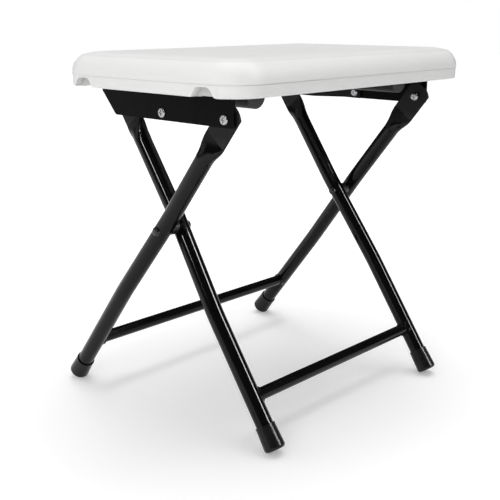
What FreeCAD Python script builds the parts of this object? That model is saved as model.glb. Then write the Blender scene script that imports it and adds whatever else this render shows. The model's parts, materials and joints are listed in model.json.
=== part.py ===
import FreeCAD, Part
import math
import os

# Folding stool with a moulded seat and two crossed leg frames. Millimetres, degrees.
# +X is the front, +Y the left, +Z up, and the floor is at z = 0.
# The pieces are drawn about the middle of the seat. They are written with the origin
# on the floor in the middle of the four feet.

# Heights and fore-and-aft places of the linkage
pivot_z = 399.0              # line of the leg pivot and the link pivot above the floor
leg_pivot_x = 103.5          # pivot of the outer legs
link_pivot_x = -2.5          # fixed pivot of the links
cross_x = -12.0              # where the outer and inner legs cross
cross_z = 253.0
inner_leg_angle = 55.2       # slope of the inner legs from the floor

# Leg tubes
tube_r = 11.0
tube_wall = 1.2
flat_width = 34.4            # pressed end, across the leg
flat_thick = 3.4
flat_tip = 18.4              # end of the pressed tip beyond the pivot
flat_tip_r = 25.0
outer_flat_length = 31.5     # pivot to the crease
inner_flat_length = 26.0
press_length = 32.0          # crease to the full round
oval_side = 0.9              # side radius of the pressed section, as a share of its half thickness
leg_splay = 8.4              # outward jog of each leg below the crossing
splay_start = 25.0           # above the crossing
splay_length = 145.0
splay_bend_r = 300.0
cross_gap = 7.0              # between the outer and the inner tube

# Stretchers
stretcher_r = 8.1
stretcher_wall = 1.2
outer_stretcher_up = 90.0    # along the leg from the floor
inner_stretcher_up = 75.5
weld_leg = 2.2               # size of the weld round each stretcher end

# Foot caps
cap_mouth_r = 12.4           # outer radius at the mouth
cap_base_r = 13.7            # outer radius at the floor end
cap_length = 32.0
cap_floor = 4.5              # rubber under the tube end
cap_round = 4.0
cap_lip = 0.3
cap_lip_height = 2.0
cap_gap = 0.5                # open ring round the tube at the mouth
cap_gap_depth = 1.6

# Brackets under the seat
bracket_inset = 37.5         # outer face of each bracket from the seat's edge
plate_thick = 2.5
web_below = 9.0              # web under the pivot line
web_above = 40.5             # top of the flange over the pivot line
web_front_x = 118.0
web_back_x = -119.0
web_back_bottom_x = -93.0
web_back_drop = 29.0         # height of the slanted back edge
web_corner_r = 6.0
web_front_corner_r = 3.0
fold_round = 0.9             # outer bend of the bracket, as a share of its plate
flange_width = 65.0
flange_corner_r = 10.0

# Rails under the flanges
rail_r = 15.0
rail_wall = 1.2
rail_front_x = 103.5
rail_back_x = -97.5
rail_inset = 49.5            # rail centre from the outer face of the bracket
plug_rim = 1.6
plug_depth = 10.0
plug_wall = 1.6

# Links
link_thick = 3.0
link_width = 17.6
link_end_r = 8.8
link_straight = 20.0         # flat stretch past the fixed pivot
link_joggle = 40.0           # length of the slanted stretch
link_square_end = 9.0        # square end past the fixed pivot
link_bend_r = 4.5            # inner radius of the two bends

# Pivot hardware
bolt_r = 3.0
bolt_head_r = 6.0
bolt_head_height = 2.2
recess_size = 6.6
recess_width = 1.5
recess_depth = 1.3
head_round = 0.8             # rounding of a head, as a share of its height
nut_height = 3.4             # closed nut with a low round head
nut_bore = 1.8               # depth of its blind hole
thin_washer = 0.6
thick_washer = 0.8
washer_r = 6.6
side_gap = 0.2               # between a moving flat and what lies beside it
running_fit = 0.05           # radial, moving piece on its pin
clear_fit = 0.2              # radial, fixed piece round its bolt
pin_head_r = 6.0
pin_head_height = 2.0

# Cross rivets
rivet_head_r = 6.0
rivet_head_height = 3.2
rivet_seat = 1.4             # head sunk over the round of the tube
cross_washer_r = 8.2
cross_split = 0.6            # gap between the two halves of the washer pair

# Seat shell
seat_depth = 316.0           # along X
seat_width = 456.0           # along Y
seat_panel = 27.5            # seat above the bracket flange
seat_recess = 14.0           # skirt below the flange's top face
seat_corner_r = 42.0
seat_side_up = 1.1           # straight wall above the parting line
seat_side_r = 25.0           # curve from the wall up to the crease
crease_inset = 13.0          # crease from the seat's edge
crown_inset = 39.0           # start of the flat top from the seat's edge
seat_bottom_r = 2.0
seat_step = 0.8              # lower skirt set in under the parting line
parting_up = 14.5            # parting line above the skirt's edge
parting_groove = 0.7         # height of the open line under it
parting_depth = 0.8          # its depth in the lower skirt
skirt_thick = 16.0
shell_wall = 2.6
scallop_x = 107.5
scallop_depth = 12.0
scallop_height = 11.5
scallop_top = 10.5           # half of its width at the top
scallop_mouth = 18.0         # half of its width at the skirt's edge
scallop_top_r = 9.0
scallop_flare_r = 5.0
scallop_lift = 1.0           # slot behind the scallop over the skirt's edge
scallop_slot = 15.0          # half of the slot's width
cut_margin = 2.0             # how far a cutting shape stands out of the piece
tackoff_r = 8.5
tackoff_tip_r = 4.5
tackoff_count_x = 4
tackoff_count_y = 4
tackoff_web = 1.3            # extra wall where a tack-off meets the top skin

# Seat screws
screw_r = 2.4
screw_head_r = 4.6
screw_head_height = 2.6
screw_head_round = 0.7       # rounding, as a share of the height
screw_length = 16.0
screw_boss_r = 7.0
screw_spots = (-88.0, -30.0, 30.0, 88.0)
screw_inset = 20.0           # from the outer face of the bracket

# What follows from the sizes above
web_outer_y = seat_width / 2 - bracket_inset
web_bottom_z = pivot_z - web_below
flange_top_z = pivot_z + web_above
flange_under_z = flange_top_z - plate_thick
web_inner_y = web_outer_y - plate_thick
outer_leg_y = web_inner_y - thin_washer - side_gap - flat_thick / 2
inner_leg_y = outer_leg_y - 2 * tube_r - cross_gap
seat_bottom_z = flange_top_z - seat_recess
seat_top_z = flange_top_z + seat_panel
parting_z = seat_bottom_z + parting_up
rail_y = web_outer_y - rail_inset
rail_z = flange_under_z - rail_r
recess_x = seat_depth - 2 * skirt_thick
recess_y = seat_width - 2 * skirt_thick
tackoff_pitch_x = recess_x / tackoff_count_x
tackoff_pitch_y = 2 * (web_outer_y - flange_width) / tackoff_count_y
side_z = parting_z + seat_side_up
crease_z = side_z + math.sqrt(seat_side_r ** 2 - (seat_side_r - crease_inset) ** 2)
crown_rise = seat_top_z - crease_z
crown_r = ((crown_inset - crease_inset) ** 2 + crown_rise ** 2) / (2 * crown_rise)
cap_taper = math.atan((cap_base_r - cap_mouth_r) / cap_length)
cap_edge_r = cap_base_r - cap_round * (math.tan(cap_taper) + 1 / math.cos(cap_taper))
Y = FreeCAD.Vector(0, 1, 0)


def point(x, y, z):
    return FreeCAD.Vector(x, y, z)


def inner_top():
    """Top pivot of the inner legs: the place that lets all four pivots come into one line."""
    angle = math.radians(180 - inner_leg_angle)
    ux, uz = math.cos(angle), math.sin(angle)
    wx, wz = cross_x - link_pivot_x, cross_z - pivot_z
    reach = abs(leg_pivot_x - link_pivot_x) + math.hypot(leg_pivot_x - cross_x, pivot_z - cross_z)
    length = (reach ** 2 - wx ** 2 - wz ** 2) / (2 * (reach + wx * ux + wz * uz))
    return cross_x + length * ux, cross_z + length * uz, length


top_x, top_z, inner_cross_t = inner_top()
outer_cross_t = math.hypot(leg_pivot_x - cross_x, pivot_z - cross_z)


def cap_reach(slope):
    """From the square end of a cap along the leg to the floor, when the cap's rounded edge stands on it."""
    level = math.sqrt(1 - slope ** 2)
    return (cap_edge_r * level + cap_round * (1 - slope)) / slope


class LegLine:
    """Straight line of a leg from its pivot down to the floor, at y = 0."""

    def __init__(self, x, z, cross_t, stretcher_up, y, flat):
        self.cross_t = cross_t
        self.flat = flat
        self.y = y
        self.pivot = point(x, 0, z)
        self.down = (point(cross_x, 0, cross_z) - self.pivot).normalize()
        self.across = point(-self.down.z, 0, self.down.x)
        self.floor_t = -z / self.down.z
        self.cap_t = self.floor_t - cap_reach(-self.down.z)
        self.end_t = self.cap_t - cap_floor
        self.stretcher_t = self.floor_t - stretcher_up

    def at(self, t, y=0.0, across=0.0):
        return self.pivot + self.down * t + self.across * across + Y * y


outer_line = LegLine(leg_pivot_x, pivot_z, outer_cross_t, outer_stretcher_up, outer_leg_y, outer_flat_length)
inner_line = LegLine(top_x, top_z, inner_cross_t, inner_stretcher_up, inner_leg_y, inner_flat_length)


def foot_reach(line, end):
    """Furthest x of a foot cap's rounded edge; end is 1 to the front and -1 to the back."""
    middle = line.at(line.cap_t - cap_round)
    return middle.x + end * (abs(line.across.x) * cap_edge_r + cap_round)


origin_shift = -(foot_reach(outer_line, -1) + foot_reach(inner_line, 1)) / 2


def cylinder(start, end, radius):
    return Part.makeCylinder(radius, (end - start).Length, start, end - start)


def along_y(x, z, y_start, y_end, radius):
    """Cylinder along Y between two places."""
    return cylinder(point(x, y_start, z), point(x, y_end, z), radius)


def cone_z(x, y, z, height, low_r, high_r):
    return Part.makeCone(low_r, high_r, height, point(x, y, z))


def closed_face(edges):
    return Part.Face(Part.Wire(edges))


def rounded_rectangle(width_x, width_y, radius, z):
    """Face centred on the Z axis."""
    x, y, r = width_x / 2, width_y / 2, radius
    k = r * (1 - math.sqrt(0.5))
    corners = []
    for sx, sy in ((1, 1), (-1, 1), (-1, -1), (1, -1)):
        first, last = point(sx * x, sy * (y - r), z), point(sx * (x - r), sy * y, z)
        if sx * sy < 0:
            first, last = last, first
        corners.append((first, point(sx * (x - k), sy * (y - k), z), last))
    edges = []
    for i, corner in enumerate(corners):
        edges.append(Part.Arc(*corner).toShape())
        edges.append(Part.LineSegment(corner[2], corners[(i + 1) % 4][0]).toShape())
    return closed_face(edges)


def rounded_block(width_x, width_y, radius, z_low, z_high):
    return rounded_rectangle(width_x, width_y, radius, z_low).extrude(point(0, 0, z_high - z_low))


def rounded_polygon(corners, radii):
    """Wire through corners, each one rounded by its radius; 0 leaves it sharp."""
    count = len(corners)
    arcs, edges = [], []
    for i in range(count):
        here = corners[i]
        to_last = (corners[i - 1] - here).normalize()
        to_next = (corners[(i + 1) % count] - here).normalize()
        if radii[i] == 0:
            arcs.append((here, None, here))
            continue
        half = to_last.getAngle(to_next) / 2
        cut = radii[i] / math.tan(half)
        centre = here + (to_last + to_next).normalize() * (radii[i] / math.sin(half))
        middle = centre + (here - centre).normalize() * radii[i]
        arcs.append((here + to_last * cut, middle, here + to_next * cut))
    for i in range(count):
        first, middle, last = arcs[i]
        if middle is not None:
            edges.append(Part.Arc(first, middle, last).toShape())
        edges.append(Part.LineSegment(last, arcs[(i + 1) % count][0]).toShape())
    return Part.Wire(edges)


def write(name, shape):
    solids = shape.Solids
    for solid in solids:
        if not solid.isValid() or solid.Volume <= 0:
            raise ValueError(name + " holds a bad solid")
    out = solids[0].copy() if len(solids) == 1 else Part.makeCompound(solids)
    out.translate(point(origin_shift, 0, 0))
    out.exportStep("parts/" + name + ".step")
    print(name, len(solids), "solid(s)", round(sum(s.Volume for s in solids) / 1000, 2), "cm3")


# Leg tubes

def oval(line, t, side, half_width, half_height):
    """Closed section across a leg, from four tangent arcs: wide for a pressed tube, else a circle."""
    if abs(half_width - half_height) < 1e-6:
        r_side, ux, uy, centre, drop = half_width, math.sqrt(0.5), math.sqrt(0.5), 0.0, 0.0
    else:
        r_side = oval_side * half_height
        centre = half_width - r_side
        drop = (centre ** 2 - (half_height - r_side) ** 2) / (2 * (half_height - r_side))
        size = math.hypot(centre, drop)
        ux, uy = centre / size, drop / size
    px, py = centre + r_side * ux, r_side * uy

    def place(across, out):
        return line.at(t, side * (line.y + out), across)

    spots = [(px, -py), (half_width, 0), (px, py), (0, half_height), (-px, py), (-half_width, 0), (-px, -py),
             (0, -half_height), (px, -py)]
    places = [place(*spot) for spot in spots]
    edges = [Part.Arc(places[i], places[i + 1], places[i + 2]).toShape() for i in (0, 2, 4, 6)]
    return Part.Wire(edges)


def press_sections(line, side, inset):
    """Sections from the pressed flat to the round tube, set in by a wall."""
    shares = (0.0, 0.16, 0.42, 0.72, 1.0)
    sections = []
    for share in shares:
        ease = share * share * (3 - 2 * share)
        half_width = flat_width / 2 + (tube_r - flat_width / 2) * ease
        half_height = flat_thick / 2 + (tube_r - flat_thick / 2) * math.sin(share * math.pi / 2)
        if inset and half_height - inset < flat_thick / 2:
            continue
        t = line.flat + press_length * share
        if share == 1.0:
            half_width = half_height = tube_r
        sections.append(oval(line, t, side, half_width - inset, half_height - inset))
    return sections


def leg_path(line, side):
    """Centre line of the round part, with the jog below the crossing."""
    start = line.flat + press_length
    jog_in = line.cross_t - splay_start
    places = [(start, 0.0), (jog_in, 0.0), (jog_in + splay_length, leg_splay), (line.end_t, leg_splay)]
    points = [line.at(t, side * (line.y + out)) for t, out in places]
    edges = []
    last = points[0]
    for i in (1, 2):
        back = (points[i - 1] - points[i]).normalize()
        ahead = (points[i + 1] - points[i]).normalize()
        half = back.getAngle(ahead) / 2
        cut = splay_bend_r / math.tan(half)
        centre = points[i] + (back + ahead).normalize() * (splay_bend_r / math.sin(half))
        middle = centre + (points[i] - centre).normalize() * splay_bend_r
        edges.append(Part.LineSegment(last, points[i] + back * cut).toShape())
        edges.append(Part.Arc(points[i] + back * cut, middle, points[i] + ahead * cut).toShape())
        last = points[i] + ahead * cut
    edges.append(Part.LineSegment(last, points[3]).toShape())
    return Part.Wire(edges)


def leg_rod(line, side, radius):
    """Solid rod along the round part of the leg."""
    start = line.at(line.flat + press_length, side * line.y)
    ring = Part.Wire(Part.makeCircle(radius, start, line.down))
    return leg_path(line, side).makePipeShell([ring], True, False)


def leg_y_at(line, t):
    """Distance of the leg's centre line from the middle, between the two bends of the jog."""
    return line.y + leg_splay * (t - line.cross_t + splay_start) / splay_length


def flat_end(line, side):
    """Pressed flat with its rounded tip."""
    section = Part.Face(oval(line, line.flat, side, flat_width / 2, flat_thick / 2))
    bar = section.extrude(line.down * -(line.flat + flat_tip))
    middle = line.at(flat_tip_r - flat_tip, side * (line.y - flat_width))
    disc = Part.makeCylinder(flat_tip_r, 2 * flat_width, middle, Y * side)
    square = Part.Face(Part.makePolygon([
        line.at(flat_tip_r - flat_tip, side * (line.y - flat_width), -flat_width),
        line.at(flat_tip_r - flat_tip, side * (line.y - flat_width), flat_width),
        line.at(line.flat + cut_margin, side * (line.y - flat_width), flat_width),
        line.at(line.flat + cut_margin, side * (line.y - flat_width), -flat_width),
        line.at(flat_tip_r - flat_tip, side * (line.y - flat_width), -flat_width),
    ])).extrude(Y * (side * 2 * flat_width))
    return bar.common(disc.fuse(square))


def leg(line, side):
    outside = Part.makeLoft(press_sections(line, side, 0.0), True, False)
    inside = Part.makeLoft(press_sections(line, side, tube_wall), True, False)
    body = flat_end(line, side).fuse([outside, leg_rod(line, side, tube_r)])
    body = body.cut(inside).cut(leg_rod(line, side, tube_r - tube_wall))
    pivot = line.pivot
    hole_y = side * (line.y + flat_width)
    body = body.cut(along_y(pivot.x, pivot.z, 0, hole_y, bolt_r + running_fit))
    body = body.cut(along_y(cross_x, cross_z, 0, hole_y, bolt_r))
    return body.removeSplitter()


# Stretchers

def stretcher(line):
    """Round tube between the two legs of a frame, coped to them and welded all round."""
    y = line.y + leg_splay
    centre = line.at(line.stretcher_t)
    whole = along_y(centre.x, centre.z, -y, y, stretcher_r)
    rods = []
    for side in (1, -1):
        low, high = line.at(line.end_t, side * y), line.at(line.cross_t + splay_length, side * y)
        rods.append(cylinder(low, high, tube_r))
        ring = along_y(centre.x, centre.z, side * (y - tube_r - weld_leg), side * y, stretcher_r + weld_leg)
        whole = whole.fuse(cylinder(low, high, tube_r + weld_leg).common(ring))
    whole = whole.cut(rods)
    whole = whole.cut(along_y(centre.x, centre.z, -y, y, stretcher_r - stretcher_wall))
    return max(whole.Solids, key=lambda solid: solid.Volume).removeSplitter()


# Foot caps

def foot_cap(line, side):
    y = side * (line.y + leg_splay)
    end = line.at(line.cap_t, y)
    top = end - line.down * cap_length
    body = Part.makeCone(cap_base_r, cap_mouth_r, cap_length, end, top - end)
    bottom = [e for e in body.Edges if e.isClosed() and (e.CenterOfMass - end).Length < 0.01]
    body = body.makeFillet(cap_round, bottom)
    lip = cylinder(top + line.down * cap_lip_height, top, cap_mouth_r + cap_lip)
    body = body.fuse(lip)
    body = body.cut(cylinder(line.at(line.end_t, y), top, tube_r))
    return body.cut(cylinder(top + line.down * cap_gap_depth, top, tube_r + cap_gap)).removeSplitter()


# Brackets and rails

def bracket(side):
    y = side * web_outer_y
    outline = rounded_polygon(
        [point(web_front_x, y, flange_top_z), point(web_front_x, y, web_bottom_z),
         point(web_back_bottom_x, y, web_bottom_z), point(web_back_x, y, web_bottom_z + web_back_drop),
         point(web_back_x, y, flange_top_z)],
        [0, web_front_corner_r, web_corner_r, web_corner_r, 0])
    web = Part.Face(outline).extrude(Y * (-side * plate_thick))
    flange = Part.Face(rounded_polygon(
        [point(web_front_x, y, flange_under_z), point(web_back_x, y, flange_under_z),
         point(web_back_x, y - side * flange_width, flange_under_z),
         point(web_front_x, y - side * flange_width, flange_under_z)],
        [0, 0, flange_corner_r, flange_corner_r])).extrude(point(0, 0, plate_thick))
    body = web.fuse(flange).removeSplitter()
    fold = [e for e in body.Edges
            if abs(e.CenterOfMass.y - y) < 0.01 and abs(e.CenterOfMass.z - flange_top_z) < 0.01]
    body = body.makeFillet(plate_thick * fold_round, fold)
    for x in (leg_pivot_x, link_pivot_x):
        body = body.cut(along_y(x, pivot_z, 0, y + side * cut_margin, bolt_r + clear_fit))
    for x in screw_spots:
        low = point(x, y - side * screw_inset, flange_under_z)
        body = body.cut(Part.makeCylinder(screw_r + clear_fit, plate_thick, low))
    return body


def rail(side):
    start, end = point(rail_back_x, side * rail_y, rail_z), point(rail_front_x, side * rail_y, rail_z)
    return cylinder(start, end, rail_r).cut(cylinder(start, end, rail_r - rail_wall))


def rail_plug(side, end):
    face = point(rail_front_x if end > 0 else rail_back_x, side * rail_y, rail_z)
    out = point(end, 0, 0)
    bore = rail_r - rail_wall
    plug = cylinder(face, face + out * plug_rim, rail_r)
    outer = [e for e in plug.Edges if e.isClosed() and (e.CenterOfMass - face - out * plug_rim).Length < 0.01]
    plug = plug.makeFillet(plug_rim / 2, outer)
    plug = plug.fuse(cylinder(face - out * plug_depth, face, bore))
    return plug.cut(cylinder(face - out * plug_depth, face - out * plug_wall, bore - plug_wall))


# Links

def link(side):
    """Joggled strap from the fixed pivot to the top of the inner leg."""
    along = (point(top_x, 0, top_z) - point(link_pivot_x, 0, pivot_z)).normalize()
    across = point(-along.z, 0, along.x)
    length = math.hypot(top_x - link_pivot_x, top_z - pivot_z)
    far_y = web_inner_y - thin_washer - side_gap
    near_y = inner_leg_y + flat_thick / 2 + thin_washer + side_gap + link_thick
    profile = [(-link_square_end, far_y), (link_straight, far_y), (link_straight + link_joggle, near_y),
               (length + link_end_r, near_y)]
    origin = point(link_pivot_x, 0, pivot_z) - across * (link_width / 2)
    slope = math.atan2(far_y - near_y, link_joggle) / 2
    shift = link_thick * math.tan(slope)
    low = [(-link_square_end, far_y), (link_straight - shift, far_y),
           (link_straight + link_joggle - shift, near_y), (length + link_end_r, near_y)]
    top = [origin + along * s + Y * (side * y) for s, y in profile]
    under = [origin + along * s + Y * (side * (y - link_thick)) for s, y in low]
    tight, wide = link_bend_r, link_bend_r + link_thick
    strip = Part.Face(rounded_polygon(top + under[::-1], [0, wide, tight, 0, 0, wide, tight, 0]))
    strip = strip.extrude(across * link_width)
    middle = point(link_pivot_x, 0, pivot_z) + along * length
    tip = cylinder(middle, middle + Y * (side * 2 * web_outer_y), link_end_r)
    keep = Part.Face(Part.makePolygon([
        origin - along * link_square_end, origin + along * length,
        origin + along * length + across * link_width, origin - along * link_square_end + across * link_width,
        origin - along * link_square_end,
    ])).extrude(Y * (side * 2 * web_outer_y))
    strip = strip.common(keep.fuse(tip))
    strip = strip.cut(along_y(link_pivot_x, pivot_z, 0, side * web_outer_y, bolt_r + running_fit))
    return strip.cut(along_y(top_x, top_z, 0, side * web_outer_y, bolt_r))


# Pivot hardware

def pan_head(x, z, y, side, radius, height):
    """Domed head whose flat side lies at y, pointing outward."""
    head = along_y(x, z, y, y + side * height, radius)
    rim = [e for e in head.Edges if e.isClosed() and abs(e.CenterOfMass.y - y - side * height) < 0.01]
    return head.makeFillet(height * head_round, rim)


def cross_recess(x, z, y, side):
    """Cross-shaped driver recess cut into a head that ends at y."""
    arms = []
    for wide, tall in ((recess_size, recess_width), (recess_width, recess_size)):
        low = min(y, y - side * recess_depth)
        arms.append(Part.makeBox(wide, recess_depth, tall, point(x - wide / 2, low, z - tall / 2)))
    return arms[0].fuse(arms[1])


def flat_inner_y(x):
    """Inner face of the piece that turns on the bolt at x."""
    outer_face = web_inner_y - thin_washer - side_gap
    return outer_face - (flat_thick if x == leg_pivot_x else link_thick)


def nut_face_y(x):
    return flat_inner_y(x) - side_gap - thick_washer


def pivot_bolt(x, side):
    head_y = side * web_outer_y
    head = pan_head(x, pivot_z, head_y, side, bolt_head_r, bolt_head_height)
    head = head.cut(cross_recess(x, pivot_z, head_y + side * bolt_head_height, side))
    return head.fuse(along_y(x, pivot_z, side * (nut_face_y(x) - nut_bore), head_y, bolt_r))


def pivot_nut(x, side):
    """Closed nut with the same low head as the bolt, on the inner end."""
    face_y = side * nut_face_y(x)
    nut = pan_head(x, pivot_z, face_y, -side, bolt_head_r, nut_height)
    nut = nut.cut(cross_recess(x, pivot_z, face_y - side * nut_height, -side))
    return nut.cut(along_y(x, pivot_z, face_y - side * nut_bore, face_y, bolt_r))


def ring_washer(x, y_outer, thick, side):
    start, end = side * (y_outer - thick), side * y_outer
    return along_y(x, pivot_z, start, end, washer_r).cut(along_y(x, pivot_z, start, end, bolt_r))


def link_pin(side):
    """Rivet through the link and the pressed top of the inner leg."""
    outer = side * (inner_leg_y + flat_thick / 2 + thin_washer + side_gap + link_thick)
    inner = side * (inner_leg_y - flat_thick / 2 - side_gap)
    pin = along_y(top_x, top_z, inner, outer, bolt_r)
    pin = pin.fuse(pan_head(top_x, top_z, outer, side, pin_head_r, pin_head_height))
    return pin.fuse(pan_head(top_x, top_z, inner, -side, pin_head_r, pin_head_height))


def link_washer(side):
    start = side * (inner_leg_y + flat_thick / 2 + side_gap)
    end = start + side * thin_washer
    ring = along_y(top_x, top_z, start, end, washer_r)
    return ring.cut(along_y(top_x, top_z, start, end, bolt_r))


def cross_rivet(line, side, outward):
    """Rivet in one tube at the crossing: a domed head and a shank that ends inside the washer pair."""
    centre = leg_y_at(line, line.cross_t)
    head_y = side * (centre + outward * (tube_r - rivet_seat))
    middle = side * (outer_mid_y() + outward * cross_split / 2)
    dome = pan_head(cross_x, cross_z, head_y, side * outward, rivet_head_r, rivet_head_height + rivet_seat)
    dome = dome.cut(leg_rod(line, side, tube_r))
    return dome.fuse(along_y(cross_x, cross_z, middle, head_y + side * outward, bolt_r))


def outer_mid_y():
    """Middle of the gap between the two tubes at the crossing."""
    return leg_y_at(outer_line, outer_line.cross_t) - tube_r - cross_gap / 2


def cross_washer(line, side, outward):
    """Saddle washer between the tubes, cut to the round of its own tube."""
    flat_y = side * (outer_mid_y() + outward * cross_split / 2)
    deep_y = flat_y + side * outward * (cross_gap + tube_r / 2)
    ring = along_y(cross_x, cross_z, flat_y, deep_y, cross_washer_r)
    ring = ring.cut(leg_rod(line, side, tube_r)).cut(along_y(cross_x, cross_z, flat_y, deep_y, bolt_r))
    return min(ring.Solids, key=lambda solid: abs(solid.CenterOfMass.y - flat_y))


# Seat

def scallop(side, end):
    """Flared pocket in the skirt, and the raised edge behind it."""
    y = side * (seat_width / 2 + cut_margin)
    x, z, reach = end * scallop_x, seat_bottom_z, scallop_mouth + 2 * scallop_flare_r
    corners = [(-reach, -cut_margin), (-reach, 0), (-scallop_mouth, 0), (-scallop_top, scallop_height),
               (scallop_top, scallop_height), (scallop_mouth, 0), (reach, 0), (reach, -cut_margin)]
    outline = rounded_polygon([point(x + along, y, z + up) for along, up in corners],
                              [0, 0, scallop_flare_r, scallop_top_r, scallop_top_r, scallop_flare_r, 0, 0])
    pocket = Part.Face(outline).extrude(Y * (-side * (scallop_depth + cut_margin)))
    deep = skirt_thick + 2 * cut_margin
    slot_start = point(x - scallop_slot, min(y, y - side * deep), z)
    slot = Part.makeBox(2 * scallop_slot, deep, scallop_lift, slot_start)
    return pocket.fuse(slot)


def tackoff_places():
    places = []
    for i in range(tackoff_count_x):
        for j in range(tackoff_count_y):
            places.append(((i - (tackoff_count_x - 1) / 2) * tackoff_pitch_x,
                           (j - (tackoff_count_y - 1) / 2) * tackoff_pitch_y))
    return places


def screw_places():
    return [(x, side * (web_outer_y - screw_inset)) for side in (1, -1) for x in screw_spots]


def crease(side_radius, crown_radius):
    """Inset and height where the side's curve meets the crown's."""
    apart_x, apart_z = crown_inset - seat_side_r, seat_top_z - crown_r - side_z
    apart = math.hypot(apart_x, apart_z)
    along = (side_radius ** 2 - crown_radius ** 2 + apart ** 2) / (2 * apart)
    off = math.sqrt(side_radius ** 2 - along ** 2)
    return (seat_side_r + (along * apart_x + off * apart_z) / apart,
            side_z + (along * apart_z - off * apart_x) / apart)


def arc_about(centre, first, last):
    """Arc from first to last round a centre, the short way."""
    radius = (first - centre).Length
    middle = centre + ((first + last) * 0.5 - centre).normalize() * radius
    return Part.Arc(first, middle, last).toShape()


def edge_face(start, inward, set_in):
    """Upright section of the seat's edge from its outer side to the corner's centre, set in by a wall."""
    def place(inset, z):
        return point(start.x, start.y, z) + inward * inset

    side_radius, crown_radius, top = seat_side_r - set_in, crown_r - set_in, seat_top_z - set_in
    low, wall = place(set_in, parting_z), place(set_in, side_z)
    ridge = place(*crease(side_radius, crown_radius))
    flat, inner = place(crown_inset, top), place(seat_corner_r, top)
    inner_low = place(seat_corner_r, parting_z)
    return closed_face([
        Part.LineSegment(low, wall).toShape(),
        arc_about(place(seat_side_r, side_z), wall, ridge),
        arc_about(place(crown_inset, seat_top_z - crown_r), ridge, flat),
        Part.LineSegment(flat, inner).toShape(),
        Part.LineSegment(inner, inner_low).toShape(),
        Part.LineSegment(inner_low, low).toShape(),
    ])


def seat_top(set_in):
    """The seat above its parting line, or the same form set in by a wall."""
    half_x, half_y = seat_depth / 2, seat_width / 2
    long_x, long_y = seat_depth - 2 * seat_corner_r, seat_width - 2 * seat_corner_r
    middle = Part.makeBox(long_x, long_y, seat_top_z - set_in - parting_z,
                          point(-long_x / 2, -long_y / 2, parting_z))
    pieces = []
    for end in (1, -1):
        face = edge_face(point(end * half_x, -long_y / 2, 0), point(-end, 0, 0), set_in)
        pieces.append(face.extrude(Y * long_y))
        face = edge_face(point(-long_x / 2, end * half_y, 0), Y * -end, set_in)
        pieces.append(face.extrude(point(long_x, 0, 0)))
        for side in (1, -1):
            face = edge_face(point(end * half_x, side * long_y / 2, 0), point(-end, 0, 0), set_in)
            axis = point(end * long_x / 2, side * long_y / 2, 0)
            pieces.append(face.revolve(axis, point(0, 0, end * side), 90))
    return middle.fuse(pieces).removeSplitter()


def seat():
    """Hollow double-walled panel with a skirt, tack-offs inside and bosses for the screws."""
    lower = rounded_block(seat_depth - 2 * seat_step, seat_width - 2 * seat_step, seat_corner_r - seat_step,
                          seat_bottom_z, parting_z)
    low_edges = [e for e in lower.Edges if abs(e.BoundBox.ZMax - seat_bottom_z) < 0.01]
    lower = lower.makeFillet(seat_bottom_r, low_edges)
    line_x, line_y = seat_depth - 2 * seat_step, seat_width - 2 * seat_step
    line_z = parting_z - parting_groove
    line = rounded_block(seat_depth, seat_width, seat_corner_r, line_z, parting_z)
    line_r = seat_corner_r - seat_step - parting_depth
    core_x, core_y = line_x - 2 * parting_depth, line_y - 2 * parting_depth
    line = line.cut(rounded_block(core_x, core_y, line_r, line_z, parting_z))
    body = seat_top(0.0).fuse(lower.cut(line))
    recess_r = seat_corner_r - skirt_thick
    body = body.cut(rounded_block(recess_x, recess_y, recess_r, seat_bottom_z - cut_margin, flange_top_z))
    for side in (1, -1):
        for end in (1, -1):
            body = body.cut(scallop(side, end))
    above = Part.makeBox(seat_depth, seat_width, seat_panel,
                         point(-seat_depth / 2, -seat_width / 2, flange_top_z + shell_wall))
    hollow = seat_top(shell_wall).common(above)
    low_r, high_r = tackoff_r + shell_wall, tackoff_tip_r + shell_wall
    for x, y in tackoff_places():
        hollow = hollow.cut(cone_z(x, y, flange_top_z, seat_panel, low_r, high_r))
    for x, y in screw_places():
        hollow = hollow.cut(Part.makeCylinder(screw_boss_r, seat_panel, point(x, y, flange_top_z)))
    body = body.cut(hollow)
    dimple = seat_panel - shell_wall - tackoff_web
    for x, y in tackoff_places():
        body = body.cut(cone_z(x, y, flange_top_z, dimple, tackoff_r, tackoff_tip_r))
    for x, y in screw_places():
        body = body.cut(Part.makeCylinder(screw_r, screw_length, point(x, y, flange_top_z)))
    return body


def seat_screw(x, y):
    low_z = flange_under_z - screw_head_height
    head = Part.makeCylinder(screw_head_r, screw_head_height, point(x, y, low_z))
    rim = [e for e in head.Edges if e.isClosed() and abs(e.CenterOfMass.z - low_z) < 0.01]
    head = head.makeFillet(screw_head_height * screw_head_round, rim)
    return head.fuse(Part.makeCylinder(screw_r, screw_length + plate_thick, point(x, y, flange_under_z)))


def both(make, *rest):
    return Part.makeCompound([make(side, *rest) for side in (1, -1)])


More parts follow.
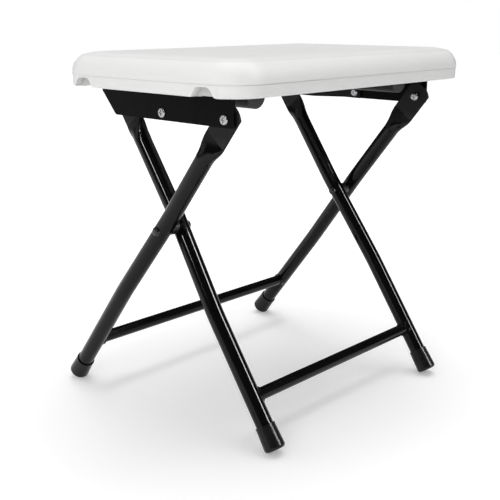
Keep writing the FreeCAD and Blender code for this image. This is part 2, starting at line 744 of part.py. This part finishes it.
def main():
    os.makedirs("parts", exist_ok=True)
    sides = (("left", 1), ("right", -1))
    write("seat_shell", seat())
    for name, side in sides:
        write("bracket_" + name, bracket(side))
        write("rail_" + name, rail(side))
        write("link_" + name, link(side))
        for frame, line in (("outer", outer_line), ("inner", inner_line)):
            write(frame + "_leg_" + name, leg(line, side))
            write(frame + "_foot_" + name, foot_cap(line, side))
    write("outer_stretcher", stretcher(outer_line))
    write("inner_stretcher", stretcher(inner_line))
    write("rail_plugs", Part.makeCompound([rail_plug(s, e) for s in (1, -1) for e in (1, -1)]))
    write("seat_screws", Part.makeCompound([seat_screw(x, y) for x, y in screw_places()]))
    spots = [(x, s) for x in (leg_pivot_x, link_pivot_x) for s in (1, -1)]
    write("pivot_bolts", Part.makeCompound([pivot_bolt(x, s) for x, s in spots]))
    write("pivot_nuts", Part.makeCompound([pivot_nut(x, s) for x, s in spots]))
    write("pivot_washers", Part.makeCompound([ring_washer(x, web_inner_y, thin_washer, s) for x, s in spots]))
    write("nut_washers", Part.makeCompound(
        [ring_washer(x, nut_face_y(x) + thick_washer, thick_washer, s) for x, s in spots]))
    write("link_pins", both(link_pin))
    write("link_washers", both(link_washer))
    write("cross_rivets_outer", Part.makeCompound([cross_rivet(outer_line, s, 1) for s in (1, -1)]))
    write("cross_rivets_inner", Part.makeCompound([cross_rivet(inner_line, s, -1) for s in (1, -1)]))
    write("cross_washers_outer", Part.makeCompound([cross_washer(outer_line, s, 1) for s in (1, -1)]))
    write("cross_washers_inner", Part.makeCompound([cross_washer(inner_line, s, -1) for s in (1, -1)]))
    print("leg pivot x", round(leg_pivot_x + origin_shift, 4))
    print("link pivot x", round(link_pivot_x + origin_shift, 4))
    print("inner leg pivot x", round(top_x + origin_shift, 4), "z", round(top_z, 4))
    print("seat centre x", round(origin_shift, 4))


main()
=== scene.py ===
import json
import math
import bpy
from mathutils import Matrix, Vector


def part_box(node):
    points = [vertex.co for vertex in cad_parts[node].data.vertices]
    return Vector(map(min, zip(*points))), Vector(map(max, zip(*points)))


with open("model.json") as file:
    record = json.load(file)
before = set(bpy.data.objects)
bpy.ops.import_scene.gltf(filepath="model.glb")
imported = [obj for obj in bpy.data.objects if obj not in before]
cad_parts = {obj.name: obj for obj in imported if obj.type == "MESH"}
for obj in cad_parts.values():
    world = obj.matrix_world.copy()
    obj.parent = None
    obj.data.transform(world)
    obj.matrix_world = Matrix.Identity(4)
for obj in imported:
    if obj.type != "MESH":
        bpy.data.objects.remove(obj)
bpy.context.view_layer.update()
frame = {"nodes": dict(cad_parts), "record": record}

nodes = frame["nodes"]
seat_low, seat_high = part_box("seat_shell")
SHIFT = (seat_low[0] + seat_high[0]) / 2     # seat centre in front of the frame's origin


# Shader nodes

def material(name):
    mat = bpy.data.materials.new(name)
    mat.use_nodes = True
    tree = mat.node_tree
    return mat, tree, tree.nodes["Principled BSDF"]


def object_coords(tree):
    return tree.nodes.new("ShaderNodeTexCoord").outputs["Object"]


def axes(tree, coords):
    """The X, Y and Z outputs of a vector."""
    split = tree.nodes.new("ShaderNodeSeparateXYZ")
    tree.links.new(coords, split.inputs[0])
    return split.outputs["X"], split.outputs["Y"], split.outputs["Z"]


def math_node(tree, operation, first, second):
    node = tree.nodes.new("ShaderNodeMath")
    node.operation = operation
    for socket, value in zip(node.inputs, (first, second)):
        if isinstance(value, (int, float)):
            socket.default_value = value
        else:
            tree.links.new(value, socket)
    return node.outputs[0]


def noise(tree, coords, scale, detail, rough):
    node = tree.nodes.new("ShaderNodeTexNoise")
    node.inputs["Scale"].default_value = scale
    node.inputs["Detail"].default_value = detail
    node.inputs["Roughness"].default_value = rough
    tree.links.new(coords, node.inputs["Vector"])
    return node.outputs["Fac"]


NOISE_LOW, NOISE_HIGH = 0.3, 0.7     # the part of a noise's range that is spread over the result


def spread(tree, value, low, high, start=NOISE_LOW, end=NOISE_HIGH):
    """Value from start to end turned into low to high, and held at both."""
    node = tree.nodes.new("ShaderNodeMapRange")
    node.inputs["From Min"].default_value = start
    node.inputs["From Max"].default_value = end
    node.inputs["To Min"].default_value = low
    node.inputs["To Max"].default_value = high
    tree.links.new(value, node.inputs["Value"])
    return node.outputs["Result"]


def tint(tree, value, low, high):
    """Colour between low and high."""
    node = tree.nodes.new("ShaderNodeValToRGB")
    node.color_ramp.elements[0].position = NOISE_LOW
    node.color_ramp.elements[1].position = NOISE_HIGH
    node.color_ramp.elements[0].color = (*low, 1)
    node.color_ramp.elements[1].color = (*high, 1)
    tree.links.new(value, node.inputs["Fac"])
    return node.outputs["Color"]


def darkened(tree, colour, mask, amount):
    mix = tree.nodes.new("ShaderNodeMix")
    mix.data_type = "RGBA"
    mix.blend_type = "MULTIPLY"
    tree.links.new(math_node(tree, "MULTIPLY", mask, amount), mix.inputs["Factor"])
    tree.links.new(colour, mix.inputs["A"])
    mix.inputs["B"].default_value = (0, 0, 0, 1)
    return mix.outputs["Result"]


def bump(tree, height, strength, distance, before=None):
    node = tree.nodes.new("ShaderNodeBump")
    node.inputs["Strength"].default_value = strength
    node.inputs["Distance"].default_value = distance
    tree.links.new(height, node.inputs["Height"])
    if before is not None:
        tree.links.new(before, node.inputs["Normal"])
    return node.outputs["Normal"]


# The seat's plastic

PLASTIC_LOW, PLASTIC_HIGH = (0.800, 0.800, 0.792), (0.828, 0.828, 0.822)
PLASTIC_ROUGH = (0.46, 0.56)
PLASTIC_GLOSS = 0.3
COATING_IOR = 1.5            # of this plastic and of the paint
CREASE_Z = 0.4630            # where the seat's side meets its crowned top
CREASE_HALF = 0.0009         # half width of the painted shade line along it
# share by which the seat's colour is darkened along the crease: painted shade
CREASE_PAINTED_SHADE = 0.05
# share by which the seat's colour is darkened in the scallops: painted shade on their back walls
# and inside the seat behind them
SCALLOP_PAINTED_SHADE = 0.32
SCALLOP_FACE = 0.2262        # |y| at a scallop's mouth
SCALLOP_WALL = 0.2170        # |y| just in front of its back wall
SCALLOP_REACH = 0.130        # |x| from the seat's centre within which the scallops lie
SCALLOP_TOP = 0.4370


def painted_crease_line(tree, coords):
    """Mask of the painted shade along the crease round the seat: 1 along the crease, 0 away from
    it.
    """
    z = axes(tree, coords)[2]
    off = math_node(tree, "ABSOLUTE", math_node(tree, "SUBTRACT", z, CREASE_Z), 0.0)
    return spread(tree, off, 1.0, 0.0, CREASE_HALF / 2, CREASE_HALF)


def painted_scallop_shade(tree, coords):
    """Mask of the painted shade in the scallops: 1 on their back wall and behind it, 0 on the
    seat's outside.
    """
    x, y, z = axes(tree, coords)
    off_y = math_node(tree, "ABSOLUTE", y, 0.0)
    off_x = math_node(tree, "ABSOLUTE", math_node(tree, "SUBTRACT", x, SHIFT), 0.0)
    inside = math_node(tree, "LESS_THAN", off_x, SCALLOP_REACH)
    inside = math_node(tree, "MULTIPLY", inside, math_node(tree, "LESS_THAN", z, SCALLOP_TOP))
    depth = spread(tree, off_y, 1.0, 0.0, SCALLOP_WALL, SCALLOP_FACE)
    return math_node(tree, "MULTIPLY", inside, depth)


def seat_plastic():
    mat, tree, shader = material("seat_polyethylene")
    at = object_coords(tree)
    cloud = noise(tree, at, scale=9, detail=2, rough=0.5)
    pale = tint(tree, cloud, PLASTIC_LOW, PLASTIC_HIGH)
    # painted shade along the crease
    pale = darkened(tree, pale, painted_crease_line(tree, at), CREASE_PAINTED_SHADE)
    # painted shade on the scallops' back walls and behind them
    pale = darkened(tree, pale, painted_scallop_shade(tree, at), SCALLOP_PAINTED_SHADE)
    tree.links.new(pale, shader.inputs["Base Color"])
    fine = noise(tree, at, scale=1500, detail=2, rough=0.6)
    grain = noise(tree, at, scale=240, detail=3, rough=0.5)
    slow = noise(tree, at, scale=22, detail=2, rough=0.4)
    tree.links.new(spread(tree, grain, *PLASTIC_ROUGH), shader.inputs["Roughness"])
    surface = bump(tree, slow, strength=0.25, distance=0.0012)
    surface = bump(tree, grain, strength=0.10, distance=0.0003, before=surface)
    surface = bump(tree, fine, strength=0.12, distance=0.0001, before=surface)
    tree.links.new(surface, shader.inputs["Normal"])
    shader.inputs["IOR"].default_value = COATING_IOR
    shader.inputs["Specular IOR Level"].default_value = PLASTIC_GLOSS
    return mat


# Black paint, rubber and plastic

PAINT_BLUE = 1.04            # blue of the black paint, as a share of its red and green
RUBBER_BLUE = 1.03
FLAT_LOW = 0.366             # height over which the legs turn into their pressed flats
FLAT_HIGH = 0.378
FLAT_ROUGH = 0.55


def powder_coat(name, low, high, gloss, rough, dull_flats):
    """Semi-gloss black paint with a faint orange peel; the legs' pressed flats can be duller."""
    mat, tree, shader = material(name)
    at = object_coords(tree)
    cloud = noise(tree, at, scale=30, detail=3, rough=0.5)
    black = tint(tree, cloud, (low, low, low * PAINT_BLUE), (high, high, high * PAINT_BLUE))
    tree.links.new(black, shader.inputs["Base Color"])
    sheen = spread(tree, cloud, *rough)
    if dull_flats:
        flat = spread(tree, axes(tree, at)[2], 0.0, FLAT_ROUGH - rough[1], FLAT_LOW, FLAT_HIGH)
        sheen = math_node(tree, "ADD", sheen, flat)
    tree.links.new(sheen, shader.inputs["Roughness"])
    peel = noise(tree, at, scale=420, detail=2, rough=0.5)
    grain = noise(tree, at, scale=2600, detail=2, rough=0.5)
    surface = bump(tree, peel, strength=0.10, distance=0.00012)
    surface = bump(tree, grain, strength=0.10, distance=0.00003, before=surface)
    tree.links.new(surface, shader.inputs["Normal"])
    shader.inputs["IOR"].default_value = COATING_IOR
    shader.inputs["Specular IOR Level"].default_value = gloss
    return mat


def soft_black(name, low, high, rough, grain=900, depth=0.2, gloss=0.4):
    mat, tree, shader = material(name)
    at = object_coords(tree)
    cloud = noise(tree, at, scale=60, detail=3, rough=0.55)
    black = tint(tree, cloud, (low, low, low * RUBBER_BLUE), (high, high, high * RUBBER_BLUE))
    tree.links.new(black, shader.inputs["Base Color"])
    tree.links.new(spread(tree, cloud, *rough), shader.inputs["Roughness"])
    surface = noise(tree, at, scale=grain, detail=3, rough=0.6)
    surface = bump(tree, surface, strength=depth, distance=0.0002)
    tree.links.new(surface, shader.inputs["Normal"])
    shader.inputs["Specular IOR Level"].default_value = gloss
    return mat


# Zinc of the bolts, nuts and screws

ZINC_LOW, ZINC_HIGH = (0.30, 0.31, 0.325), (0.44, 0.45, 0.46)
ZINC_ROUGH = (0.16, 0.28)


def zinc():
    mat, tree, shader = material("bright_zinc")
    at = object_coords(tree)
    cloud = noise(tree, at, scale=500, detail=3, rough=0.55)
    tree.links.new(tint(tree, cloud, ZINC_LOW, ZINC_HIGH), shader.inputs["Base Color"])
    shader.inputs["Metallic"].default_value = 1.0
    tree.links.new(spread(tree, cloud, *ZINC_ROUGH), shader.inputs["Roughness"])
    surface = noise(tree, at, scale=2500, detail=2, rough=0.5)
    surface = bump(tree, surface, strength=0.15, distance=0.00005)
    tree.links.new(surface, shader.inputs["Normal"])
    return mat


# Which piece has which material

tube_paint = powder_coat("black_tube_paint", low=0.0020, high=0.0032, gloss=0.20,
                         rough=(0.10, 0.15), dull_flats=True)
plate_paint = powder_coat("black_plate_paint", low=0.0014, high=0.0022, gloss=0.04,
                          rough=(0.26, 0.36), dull_flats=False)
rubber = soft_black("foot_rubber_black", low=0.005, high=0.008, rough=(0.20, 0.28),
                    grain=900, depth=0.08, gloss=0.24)
rivet_coat = soft_black("rivet_black_coat", low=0.004, high=0.007, rough=(0.16, 0.24),
                        grain=1200, depth=0.06, gloss=0.45)
finish = {
    "seat_plastic": seat_plastic(),
    "frame_paint": tube_paint,
    "foot_rubber": rubber,
    "plug_plastic": soft_black("plug_black", low=0.008, high=0.012, rough=(0.45, 0.55)),
    "zinc": zinc(),
    "washer_plastic": soft_black("nylon_black", low=0.006, high=0.010, rough=(0.30, 0.42)),
    "rivet_black": rivet_coat,
}
slot_of = {s["node"]: s["material_slot"] for s in frame["record"]["subparts"]}
for name, obj in nodes.items():
    paint = plate_paint if name.startswith("bracket") else finish[slot_of[name]]
    obj.data.materials.clear()
    obj.data.materials.append(paint)


# Camera

SENSOR = 36
FOCAL_SHARE = 839.372 / 500  # focal length as a share of the picture's width
CLIP_START, CLIP_END = 0.05, 50
CAMERA_PLACE = Vector((0.771405 + SHIFT, -0.836157, 0.510185))
AZIMUTH = math.radians(44.257)
ELEVATION = math.radians(15.644)
ROLL = math.radians(-0.215)

camera = bpy.data.cameras.new("camera")
camera.sensor_width = SENSOR
camera.sensor_fit = "HORIZONTAL"
camera.lens = SENSOR * FOCAL_SHARE
camera.clip_start = CLIP_START
camera.clip_end = CLIP_END
view = bpy.data.objects.new("camera", camera)
bpy.context.scene.collection.objects.link(view)
level = math.cos(ELEVATION)
back = Vector((math.sin(AZIMUTH) * level, -math.cos(AZIMUTH) * level, math.sin(ELEVATION)))
right = Vector((math.cos(AZIMUTH), math.sin(AZIMUTH), 0))
up = back.cross(right)
rolled_right = right * math.cos(ROLL) + up * math.sin(ROLL)
rolled_up = up * math.cos(ROLL) - right * math.sin(ROLL)
place = Matrix((rolled_right, rolled_up, back)).transposed().to_4x4()
place.translation = CAMERA_PLACE
view.matrix_world = place
bpy.context.scene.camera = view


# Floor

def seen_ray(tree):
    """1 for rays that show the background: to the camera, in gloss and through clear pieces."""
    path = tree.nodes.new("ShaderNodeLightPath")
    gloss = path.outputs["Is Glossy Ray"]
    seen = math_node(tree, "MAXIMUM", path.outputs["Is Camera Ray"], gloss)
    return math_node(tree, "MAXIMUM", seen, path.outputs["Is Transmission Ray"]), gloss


FLOOR_HALF = 9.0
FLOOR_DROP = 0.0004          # below the feet
FLOOR_LOW, FLOOR_HIGH = (0.93, 0.93, 0.93), (0.95, 0.95, 0.95)
FLOOR_ROUGH = 0.9
FLOOR_GLOSS = 0.1
LIFT_NEAR, LIFT_FAR = 0.22, 0.68     # brightness added to the floor as it is seen
LIFT_START, LIFT_END = 0.35, 1.5     # distances from the middle between which it grows


def floor():
    half = FLOOR_HALF
    corners = [(-half, -half, 0), (half, -half, 0), (half, half, 0), (-half, half, 0)]
    mesh = bpy.data.meshes.new("floor")
    mesh.from_pydata(corners, [], [(0, 1, 2, 3)])
    obj = bpy.data.objects.new("floor", mesh)
    bpy.context.scene.collection.objects.link(obj)
    obj.location.z = -FLOOR_DROP
    mat, tree, shader = material("floor_white")
    at = object_coords(tree)
    pale = tint(tree, noise(tree, at, scale=2, detail=2, rough=0.5), FLOOR_LOW, FLOOR_HIGH)
    tree.links.new(pale, shader.inputs["Base Color"])
    shader.inputs["Roughness"].default_value = FLOOR_ROUGH
    shader.inputs["Specular IOR Level"].default_value = FLOOR_GLOSS
    away = tree.nodes.new("ShaderNodeVectorMath")
    away.operation = "LENGTH"
    tree.links.new(at, away.inputs[0])
    lift = spread(tree, away.outputs["Value"], LIFT_NEAR, LIFT_FAR, LIFT_START, LIFT_END)
    lift = math_node(tree, "MULTIPLY", seen_ray(tree)[0], lift)
    shader.inputs["Emission Color"].default_value = (1, 1, 1, 1)
    tree.links.new(lift, shader.inputs["Emission Strength"])
    mesh.materials.append(mat)


floor()


# Lamps

def lamp(name, where, target, size, power, tall=None):
    """Square area lamp, or with tall a rectangle, that points at the target."""
    data = bpy.data.lights.new(name, "AREA")
    data.energy = power
    data.size = size
    if tall:
        data.shape = "RECTANGLE"
        data.size_y = tall
    obj = bpy.data.objects.new(name, data)
    bpy.context.scene.collection.objects.link(obj)
    obj.location = where
    obj.rotation_euler = (Vector(target) - Vector(where)).to_track_quat("-Z", "Y").to_euler()
    return obj


STRIP_FAR = 2.4              # distance of a strip lamp from the place it lights
LEG_SLOPE = Vector((0.571, 0.0, -0.821))     # the inner legs' direction, downwards


def strip(name, start, toward, width, length, power):
    """Narrow lamp for gloss alone, along the inner legs' slope, to run down them as a line."""
    obj = lamp(name, (0, 0, 0), (0, 0, -1), width, power, length)
    toward = Vector(toward).normalized()
    along = (LEG_SLOPE - toward * LEG_SLOPE.dot(toward)).normalized()
    turn = Matrix((along.cross(toward), along, toward)).transposed().to_4x4()
    turn.translation = start + toward * STRIP_FAR
    obj.matrix_world = turn
    obj.visible_diffuse = False


MIDDLE = Vector((SHIFT, 0, 0.30))
UPPER_LEG = Vector((SHIFT - 0.065, -0.156, 0.325))   # upper part of the near inner leg
KEY_AWAY = Vector((0.42, -0.85, 0.32)) * 2.8
LEFT_AWAY = Vector((-0.60, -0.69, 0.40)) * 2.8
TOP_AWAY = Vector((-0.05, 0.15, 0.98)) * 2.6

key = lamp("key_soft", MIDDLE + KEY_AWAY, MIDDLE, size=1.8, power=28)
key.visible_glossy = False
lamp("left_soft", MIDDLE + LEFT_AWAY, MIDDLE, size=1.5, power=6)
lamp("top_soft", MIDDLE + TOP_AWAY, MIDDLE, size=2.0, power=40)
strip("leg_strip", MIDDLE, (0.65, 0.38, 0.655), width=0.24, length=2.8, power=110)
strip("upper_leg_strip", UPPER_LEG, (0.13, -0.875, 0.464), width=0.20, length=0.40, power=14)


# Background

GLOSS_DIM = 0.95             # share of the background's brightness that is left out of gloss
GLOSS_HORIZON = 0.12         # height of a direction from which all of that share is left out
ROOM_LIGHT = 0.40            # even light of the room

world = bpy.data.worlds.new("room")
bpy.context.scene.world = world
world.use_nodes = True
tree = world.node_tree
ground = tree.nodes["Background"]
ground.inputs["Color"].default_value = (1, 1, 1, 1)
seen, gloss = seen_ray(tree)
height = axes(tree, tree.nodes.new("ShaderNodeTexCoord").outputs["Generated"])[2]
upper = spread(tree, height, 0.0, GLOSS_DIM, 0.0, GLOSS_HORIZON)
dimmed = math_node(tree, "MULTIPLY", upper, gloss)
shown = math_node(tree, "MULTIPLY", seen, math_node(tree, "SUBTRACT", 1.0, dimmed))
unseen = math_node(tree, "MULTIPLY", math_node(tree, "SUBTRACT", 1.0, seen), ROOM_LIGHT)
tree.links.new(math_node(tree, "ADD", shown, unseen), ground.inputs["Strength"])

bpy.context.scene.view_settings.view_transform = "Standard"
